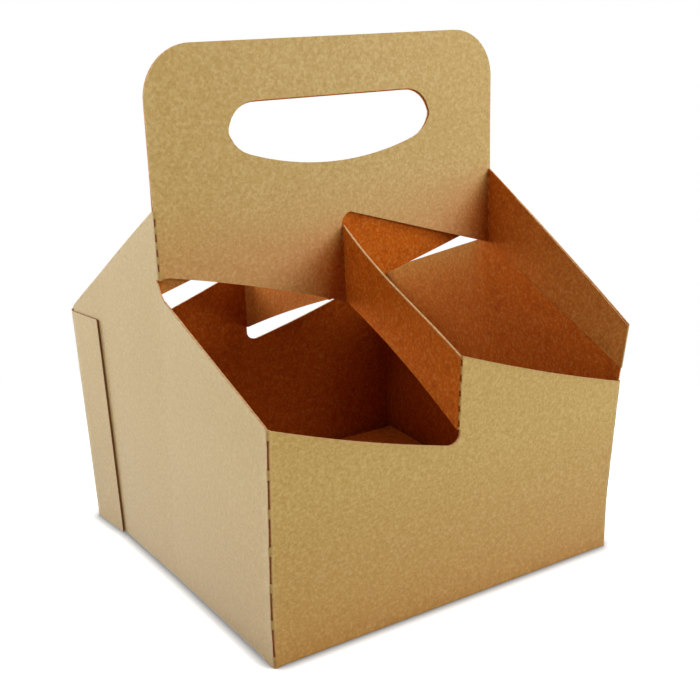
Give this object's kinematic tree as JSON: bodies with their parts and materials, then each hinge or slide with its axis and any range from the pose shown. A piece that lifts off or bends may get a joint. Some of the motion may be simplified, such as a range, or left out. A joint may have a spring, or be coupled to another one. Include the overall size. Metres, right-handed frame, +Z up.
{
  "type": "cardboard cup carrier",
  "caption": "Folded kraft paperboard carrier with open cells for cups, sloping side walls, crossing bands and a double upright handle with a hand hole.",
  "frame": {"origin": "middle of the base, at the level of the walls' lower edges", "axes": "+X to the right along the front panel, +Y to the back, +Z up along the handle"},
  "size_m": [0.1858, 0.185, 0.2333],
  "materials": {
    "kraft_board": "matte uncoated kraft paperboard"
  },
  "bodies": {
    "root": {"cup_carrier": "kraft_board"}
  },
  "joints": []
}
